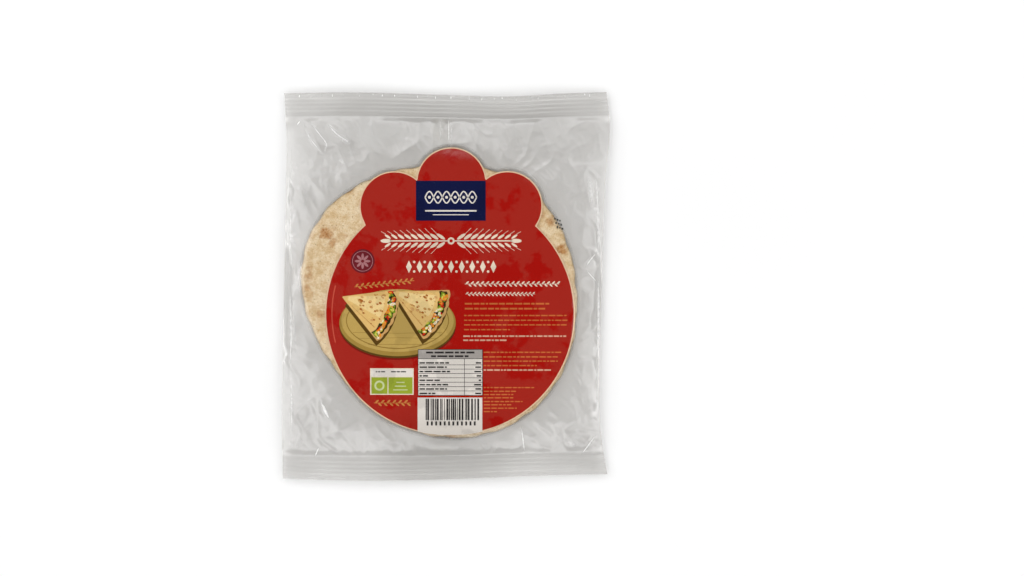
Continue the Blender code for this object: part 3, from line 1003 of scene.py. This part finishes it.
def print_panel(sheet):
    """The navy panel, with a plain twisted braid and two rules under it."""
    sheet.pen("navy", 1).bar(*PANEL)
    sheet.pen("white", 2)
    x = np.linspace(BRAID_LEFT, BRAID_RIGHT, 90)
    for sign in (-1, 1):
        y = BRAID_Y + sign * BRAID_SWING * np.sin((x - BRAID_LEFT) * np.pi / BRAID_LOOP)
        sheet.ribbon(list(zip(x, y)), 0.75)
    for k in range(BRAID_LOOPS):
        sheet.oval(BRAID_LEFT + BRAID_LOOP * (k + 0.5), BRAID_Y, 0.85, 0.85)
    for rule in PANEL_RULES:
        sheet.bar(*rule)


EAR_X, EAR_Y = 3.75, 26.2  # where the two stems meet
EAR_STEM = 36.0
EAR_GRAINS = 9
EAR_PITCH = 3.9
EAR_TAPER = 0.035
GRAIN_TILT = 34
GRAIN_HALF = (2.9, 0.92)


def print_ears(sheet):
    """Two ears of spelt, stem to stem, where the title's row is."""
    sheet.pen("cream", 1)
    for side in (-1, 1):
        sheet.ribbon([(EAR_X, EAR_Y), (EAR_X + side * EAR_STEM, EAR_Y)], 0.7)
        for k in range(EAR_GRAINS):
            x = EAR_X + side * (4.6 + EAR_PITCH * k)
            size = 1.0 - EAR_TAPER * k
            long, wide = GRAIN_HALF[0] * size, GRAIN_HALF[1] * size
            for up in (-1, 1):
                tilt = 90 - side * (90 - up * GRAIN_TILT)
                sheet.oval(x + side * 1.4, EAR_Y + up * 2.5, long, wide, tilt, 16)
                root = (x + side * 3.6 * size, EAR_Y + up * 4.0)
                tip = (x + side * 7.2 * size, EAR_Y + up * 7.6 * size)
                sheet.ribbon([root, tip], 0.24)
        sheet.oval(EAR_X + side * 38.2, EAR_Y, 3.2, 1.2, 0, 16)
    sheet.pen("cream", 2).oval(EAR_X, EAR_Y, 2.1, 2.1)
    sheet.pen("red", 3).oval(EAR_X, EAR_Y, 1.0, 1.0)


LOZENGE_X, LOZENGE_Y = -21.0, 11.0  # middle of the first one
LOZENGE_PITCH = 6.2
LOZENGE_COUNT = 9
LOZENGE_HALF = (1.7, 3.7)
DOT_OFFSET = 2.8
DOT_RADIUS = 0.75


def print_lozenges(sheet):
    """A band of lozenges, with two dots between one and the next."""
    sheet.pen("cream", 1)
    y = LOZENGE_Y
    half_x, half_y = LOZENGE_HALF
    for k in range(LOZENGE_COUNT):
        x = LOZENGE_X + LOZENGE_PITCH * k
        sheet.outline([(x - half_x, y), (x, y - half_y), (x + half_x, y), (x, y + half_y)])
        if k < LOZENGE_COUNT - 1:
            for offset in (-DOT_OFFSET, DOT_OFFSET):
                sheet.oval(x + LOZENGE_PITCH / 2, y + offset, DOT_RADIUS, DOT_RADIUS, 0, 14)


PETAL_SEAL = (-48.2, 14.3)
PETAL_COUNT = 8
SEAL_SPRIG = (-53.1, -0.9, -17.9, 2.9, 1.9)  # both ends and the length of a leaf


def print_seal(sheet):
    """A dark disc with a ring of petals, and a gold sprig that rises to the right under it."""
    x, y = PETAL_SEAL
    sheet.pen("violet", 1).oval(x, y, 7.1, 7.1, 0, 40)
    sheet.pen("pale_violet", 2).ring(x, y, 5.9, 5.9, 0.35)
    for turn in range(0, 360, 360 // PETAL_COUNT):
        c, s = np.cos(np.radians(turn)), np.sin(np.radians(turn))
        sheet.oval(x + 2.7 * c, y + 2.7 * s, 1.9, 0.75, turn, 12)
    sheet.pen("gold", 1).sprig(*SEAL_SPRIG)


SPRIGS = [  # (left, right, y, leaf length, ink) of the rows of leaves that stand for large lettering
    (11.8, 67.3, 0.9, 1.75, "cream"),
    (12.1, 53.1, -5.0, 1.35, "cream"),
    (-41.5, -20.0, -69.0, 2.0, "gold"),
]


COLUMN_BLOCKS = [  # (ink, left, height, longest dash, right and bottom of each line) at the right
    ("dull_gold", 11.8, 1.0, 5.0, [(62.0, -11.2), (59.0, -14.1)]),
    ("dull_gold", 11.4, 0.75, 4.0, [(72.6, -18.0), (72.8, -20.8), (72.8, -23.5), (38.4, -26.3)]),
    ("dull_white", 10.9, 0.9, 4.0, [(72.4, -30.2), (37.2, -32.6)]),
    ("dull_gold", 22.9, 0.75, 4.0, [(68.4, -39.6), (67.6, -42.3), (66.4, -44.8), (54.1, -47.4)]),
    ("dull_white", 22.9, 0.9, 4.0, [(62.8, -50.1)]),
    ("dull_gold", 22.9, 0.7, 4.0, [(52.5, -60.3), (42.3, -62.5), (40.3, -64.4), (40.3, -66.3),
                                   (45.7, -68.5), (40.3, -70.4), (43.4, -72.4), (31.6, -74.4)]),
]
COLUMN_SEED = 100
GLINT = (69.3, 69.3, 0.7, 166, 194)  # radii, width and both ends in degrees


def print_column(sheet):
    """Rows of leaves and lines of dashes, and a pale line along the card's left edge."""
    for left, right, y, leaf, ink_name in SPRIGS:
        sheet.pen(ink_name, 1).sprig(left, y, right, y, leaf)
    seed = COLUMN_SEED
    for ink_name, left, height, longest, lines in COLUMN_BLOCKS:
        sheet.pen(ink_name, 1)
        for right, bottom in lines:
            sheet.dashes(left, right, bottom, height, seed, longest, 0.35 + longest * 0.07)
            seed += 1
    x, y = CARD_CENTRE
    sheet.pen("faint_red", 1).ring(x / MM, y / MM, *GLINT)


TABLE_LEFT, TABLE_RIGHT = -15.6, 22.2
TABLE_ROWS = [-37.6, -43.0, -46.6, -49.1, -51.7, -54.2, -56.8, -59.4, -61.9, -64.5]
TABLE_COLUMN = 11.6
TABLE_RULE = 0.15  # half the width of a rule
TABLE_HEAD = [(-11.0, 17.5, -39.9, 7), (-8.0, 14.0, -42.1, 8)]  # left, right, bottom and seed of a line
TABLE_MARGIN = 0.8
WORD_LIFT = 0.7
WORD_HEIGHT = 0.9


def print_table(sheet):
    """A ruled table with a grey head and plain dashes for its words."""
    sheet.pen("white", 10).bar(TABLE_LEFT, TABLE_ROWS[-1], TABLE_RIGHT, TABLE_ROWS[0])
    sheet.pen("grey", 11).bar(TABLE_LEFT, TABLE_ROWS[1], TABLE_RIGHT, TABLE_ROWS[0])
    sheet.pen("black", 12)
    for y in TABLE_ROWS:
        sheet.bar(TABLE_LEFT, y - TABLE_RULE, TABLE_RIGHT, y + TABLE_RULE)
    for x, top in ((TABLE_LEFT, 0), (TABLE_COLUMN, 1), (TABLE_RIGHT, 0)):
        sheet.bar(x - TABLE_RULE, TABLE_ROWS[-1], x + TABLE_RULE, TABLE_ROWS[top])
    for left, right, bottom, seed in TABLE_HEAD:
        sheet.dashes(left, right, bottom, 1.1, seed, 6.0, 0.7)
    rng = np.random.default_rng(9)
    for low in TABLE_ROWS[2:]:
        bottom = low + WORD_LIFT
        end = TABLE_LEFT + rng.uniform(6, 20)
        seed = rng.integers(99)
        sheet.dashes(TABLE_LEFT + TABLE_MARGIN, end, bottom, WORD_HEIGHT, seed, 5.0, 0.6)
        start = TABLE_RIGHT - rng.uniform(2.2, 5.0)
        sheet.bar(start, bottom, TABLE_RIGHT - TABLE_MARGIN, bottom + WORD_HEIGHT)


CODE_LEFT, CODE_RIGHT, CODE_TOP = -15.9, 22.1, -65.8
CODE_BARS = (-11.2, -79.1, 19.4, -66.5)  # left, bottom, right and top
CODE_MODULE = 0.33
INK_SPREAD = 0.08
CODE_MARKS = (-10.6, -82.2, 1.1, 2.4)  # left, bottom, width and height of the first mark
CODE_MARK_PITCH = 2.52
CODE_MARK_COUNT = 12


def print_code(sheet):
    """A white field down to the card's edge, with a random row of upright bars."""
    across = np.linspace(CODE_LEFT, CODE_RIGHT, 30)
    edge = np.min([y / MM - np.sqrt((radius / MM - 0.02) ** 2 - (across - x / MM) ** 2)
                   for x, y, radius in CARD_CIRCLES[:2]], axis=0)
    sheet.pen("white", 1).outline([*zip(across, edge), (CODE_RIGHT, CODE_TOP), (CODE_LEFT, CODE_TOP)])
    sheet.pen("black", 2)
    rng = np.random.default_rng(12)
    left, bottom, right, top = CODE_BARS
    while left < right:
        width = CODE_MODULE * rng.integers(1, 4)
        sheet.bar(left, bottom, left + width + INK_SPREAD, top)
        left += width + CODE_MODULE * rng.integers(1, 4)
    left, bottom, width, height = CODE_MARKS
    for k in range(CODE_MARK_COUNT):
        x = left + CODE_MARK_PITCH * k
        sheet.bar(x, bottom, x + width, bottom + height)


# Green panels: (ink, layer, left, bottom, right, top) of each field, from the frame up
PANEL_FIELDS = [
    ("cream", 1, -43.8, -64.2, -18.2, -48.6), ("white", 2, -43.2, -53.4, -18.8, -49.1),
    ("green", 2, -43.0, -63.6, -33.6, -53.9), ("green", 2, -33.0, -63.6, -18.9, -53.9),
]
PANEL_RING = (-38.3, -58.8)
PANEL_WORDS = [(-40.5, -35.0, 3), (-31.5, -22.5, 4)]  # left, right and seed of a line


def print_panels(sheet):
    """Two green panels in a pale frame, with a ring on one and three short bars on the other."""
    for ink_name, layer, *field in PANEL_FIELDS:
        sheet.pen(ink_name, layer).bar(*field)
    sheet.pen("pale_green", 3).oval(*PANEL_RING, 3.0, 3.0, 0, 26)
    sheet.pen("green", 4).oval(*PANEL_RING, 1.9, 1.9, 0, 22)
    sheet.pen("pale_green", 3)
    for k in range(3):
        sheet.bar(-30.2 + 0.9 * k, -61.6 + 2.2 * k, -21.8 - 0.9 * k, -61.0 + 2.2 * k)
    sheet.pen("black", 3)
    for left, right, seed in PANEL_WORDS:
        sheet.dashes(left, right, -51.0, 0.7, seed, 3.0, 0.5)


BOARD_X, BOARD_Y = -27.7, -21.5
BOARD_RX, BOARD_RY = 34.2, 19.6
BOARD_FACES = [  # (ink, height over the middle, how far it lies in) of the board's shadow, rim and top
    ("dark_red", -2.6, 0.0), ("board_shade", -1.6, 0.0), ("board_rim", -0.4, 0.0), ("board", 0.9, 1.2),
]
GRAIN_LINES = (-14.0, -10.5, -7.0, 8.6, 12.0, 15.4)  # offsets of the wood's lines along y
TOAST_COUNT = 44
WEDGES = [(-60.5, -6.5, -22.0), (-30.5, -3.5, -28.0)]  # (x and y of the point, way it opens in degrees)
WEDGE_LENGTH = 27.0
WEDGE_HALF = 29.0
FILLING_DEPTH = 6.2
FILLINGS = [  # (ink, ink of its middle, half its length in mm, how many at each edge)
    ("leaf", "pale_leaf", 2.5, 8), ("tomato", "carrot", 2.1, 7), ("dark_green", "leaf", 2.2, 6),
    ("carrot", "gold", 1.8, 9), ("onion", "wrap_light", 1.7, 8), ("pale_leaf", "onion", 2.0, 6),
    ("tomato", "tomato", 1.3, 6),
]


def fan(x, y, way, half, near, far, steps=30, wave=0.0, count=7):
    """A slice of a ring about (x, y); its outer edge may be scalloped."""
    angle = np.radians(np.linspace(way - half, way + half, steps))
    ripple = far + wave * np.abs(np.sin(np.linspace(0, count * np.pi, steps)))
    outer = [*zip(x + ripple * np.cos(angle), y + ripple * np.sin(angle))]
    inner = [*zip(x + near * np.cos(angle), y + near * np.sin(angle))]
    return outer + inner[::-1]


def print_wedge(sheet, x, y, way, rng):
    """A bread folded to a point, its round edge open on a filling."""
    far = WEDGE_LENGTH + FILLING_DEPTH
    sheet.pen("board_shade", 5).outline(fan(x - 0.6, y - 2.2, way, WEDGE_HALF + 1.0, 4.0, far + 0.8))
    sheet.pen("wrap_under", 6).outline(fan(x, y, way, WEDGE_HALF + 0.5, 2.0, far, 80, 0.7, 6))
    sheet.pen("dark_green", 7).outline(fan(x, y, way, WEDGE_HALF - 1.0, 18.0, far - 1.4, 80, 0.5, 9))
    for ink_name, middle_ink, size, count in FILLINGS:
        for k in range(count):
            angle = np.radians(way + rng.uniform(-0.93, 0.93) * WEDGE_HALF)
            out = WEDGE_LENGTH + rng.uniform(0.4, FILLING_DEPTH - 1.6)
            place = x + out * np.cos(angle), y + out * np.sin(angle)
            long, tilt = size * rng.uniform(0.7, 1.0), way + rng.uniform(0, 180)
            sheet.pen(ink_name, 8 + 0.1 * k).oval(*place, long, long * 0.55, tilt, 12)
            sheet.pen(middle_ink, 9 + 0.1 * k).oval(*place, long * 0.5, long * 0.26, tilt, 10)
    sheet.pen("wrap", 10).outline(fan(x, y, way, WEDGE_HALF, 0.6, WEDGE_LENGTH, 40, 0.8, 4))
    sheet.pen("wrap_light", 11).outline(fan(x, y, way + 8.0, 15.0, 4.0, WEDGE_LENGTH - 1.5, 30))
    fold = fan(x, y, way - WEDGE_HALF + 8.0, 0.6, 3.0, WEDGE_LENGTH - 0.5, 6)
    sheet.pen("wrap_fold", 11).outline(fold)
    for k in range(TOAST_COUNT):
        angle = np.radians(way + rng.uniform(-0.88, 0.88) * WEDGE_HALF)
        out = WEDGE_LENGTH * np.sqrt(rng.uniform(0.04, 0.92))
        size = rng.uniform(0.3, 1.1)
        sheet.pen(rng.choice(["toast", "wrap_fold", "toast_light"]), 12 + 0.02 * k)
        sheet.oval(x + out * np.cos(angle), y + out * np.sin(angle), size, size * 0.7, way, 9)


def print_picture(sheet):
    """An oval board that carries two folded breads, side by side."""
    for layer, (ink_name, rise, inset) in enumerate(BOARD_FACES, 1):
        sheet.pen(ink_name, layer)
        sheet.oval(BOARD_X, BOARD_Y + rise, BOARD_RX - inset, BOARD_RY - inset, 0, 64)
    middle = BOARD_Y + BOARD_FACES[-1][1]
    sheet.pen("groove", 5).ring(BOARD_X, middle, BOARD_RX - 4.2, BOARD_RY - 3.2, 0.55)
    for k, offset in enumerate(GRAIN_LINES):
        reach = (BOARD_RX - 5.5) * np.sqrt(1 - (offset / (BOARD_RY - 2.0)) ** 2)
        y = middle + offset
        bowed = y + 0.5 * np.sin(2.1 * k)
        sheet.ribbon([(BOARD_X - reach, y), (BOARD_X, bowed), (BOARD_X + reach, y)], 0.22)
    rng = np.random.default_rng(23)
    for x, y, way in WEDGES:
        print_wedge(sheet, x, y, way, rng)


def make_print():
    sheet = Print("print_marks")
    for part in (print_panel, print_ears, print_lozenges, print_seal, print_column, print_table,
                 print_code, print_panels):
        part(sheet)
    sheet.make()
    picture = Print("print_picture")
    print_picture(picture)
    picture.make()


front_skin, back_skin = film_skins()
front_looks = film_material("front_film_looks", FRONT_CLEAR, FRONT_DOUBLED_AND_SHADED, FRONT_HAZE, FRONT_HAZE_SHARE)
back_looks = film_material("back_film_looks", BACK_CLEAR, BACK_DOUBLED_AND_SHADED, BACK_HAZE, BACK_HAZE_SHARE)
make_film("film_front", front_skin, False, front_looks)
make_film("film_back", back_skin, True, back_looks)
make_back_seam(back_skin)
film_tree = BVHTree.FromPolygons(front_skin.reshape(-1, 3).tolist(), grid_faces(*front_skin.shape[:2]))
make_lot_marks(film_tree)
make_painted_glints(film_tree)
for number in range(BREAD_COUNT):
    make_bread(number)
make_card()
make_red_field()
make_print()


# Floor, light and camera

PHOTO_WIDTH = 1024
MM_PER_PIXEL = 0.59
PACK_PIXEL = (445.0, 285.5)
PHOTO_MIDDLE = (512.0, 288.0)
CAMERA_LENS = 85.0
CAMERA_SENSOR = 36.0
FLOOR_HALF = 5.0


def make_floor():
    corners = [(side_x * FLOOR_HALF, side_y * FLOOR_HALF, 0.0)
               for side_x, side_y in ((-1, -1), (1, -1), (1, 1), (-1, 1))]
    floor = make_mesh("floor", corners, [(0, 1, 2, 3)], smooth_shade=False)
    shader = Shader("floor")
    tone = shader.grey(shader.noise(3.0), 0.3, 0.7, 0.86, 0.88)
    floor.data.materials.append(shader.set(Base_Color=tone, Roughness=0.9, Specular_IOR_Level=0.1))


LIGHTS = [  # (name, place, width and length, radiance)
    ("top", (-0.35, 1.25, 1.00), (1.6, 0.30), 1.4),
    ("key", (-1.30, 0.40, 0.76), (1.3, 0.13), 6.8),
    ("side", (1.30, -0.35, 0.72), (1.0, 0.11), 6.8),
]


def make_light(name, place, size, radiance):
    """A soft box that faces the pack; its power follows from how bright its face is."""
    light = bpy.data.lights.new(name, "AREA")
    light.shape = "RECTANGLE"
    light.size, light.size_y = size
    light.energy = radiance * np.pi * size[0] * size[1]
    lamp = add_object(name, light)
    lamp.location = place
    lamp.rotation_euler = (-Vector(place)).to_track_quat("-Z", "Y").to_euler()


SKY_AXIS = Vector((0.13, 0.0, 1.0)).normalized()  # middle of the dark opening
OPENING = [  # (cosine of the angle from the axis, share of the light) round the dark opening
    (0.70, 1.0), (0.80, 0.80), (0.88, 0.50), (0.94, 0.12), (0.97, 0.0),
]
HORIZON = [  # (sine of the height over the horizon, share of the light) above the dark horizon
    (0.0, 0.08), (0.50, 0.10), (0.62, 0.80), (0.70, 1.0),
]
SKY_LEVEL = 2.28


def make_world():
    """A broad ring of soft white light round the pack, with a dark opening that leans to one side."""
    world = bpy.data.worlds.new("studio")
    sky = Nodes(world)
    generated = sky.node("TexCoord").outputs["Generated"]
    shares = []
    for axis, stops in ((SKY_AXIS, OPENING), (Vector((0, 0, 1)), HORIZON)):
        height = sky.node("VectorMath", {0: generated, 1: axis}, operation="DOT_PRODUCT")
        greys = [(cosine, (share, share, share)) for cosine, share in stops]
        shares.append(sky.ramp(height.outputs["Value"], greys))
    background = sky.tree.nodes["Background"]
    sky.plug(background.inputs["Strength"], SKY_LEVEL)
    sky.plug(background.inputs["Color"], sky.mix(1.0, *shares, "MULTIPLY"))
    bpy.context.scene.world = world


def make_camera():
    """Straight above, with the pack as large and as far left of the middle as in the photo."""
    camera = add_object("camera", bpy.data.cameras.new("camera"))
    camera.data.lens = CAMERA_LENS
    camera.data.sensor_width = CAMERA_SENSOR
    frame_width = PHOTO_WIDTH * MM_PER_PIXEL * MM
    across = (PHOTO_MIDDLE[0] - PACK_PIXEL[0]) * MM_PER_PIXEL * MM
    along = (PACK_PIXEL[1] - PHOTO_MIDDLE[1]) * MM_PER_PIXEL * MM
    camera.location = (across, along, frame_width * CAMERA_LENS / CAMERA_SENSOR + EDGE_HEIGHT)
    bpy.context.scene.camera = camera


make_floor()
make_world()
for light_values in LIGHTS:
    make_light(*light_values)
make_camera()
bpy.context.scene.view_settings.view_transform = "Standard"
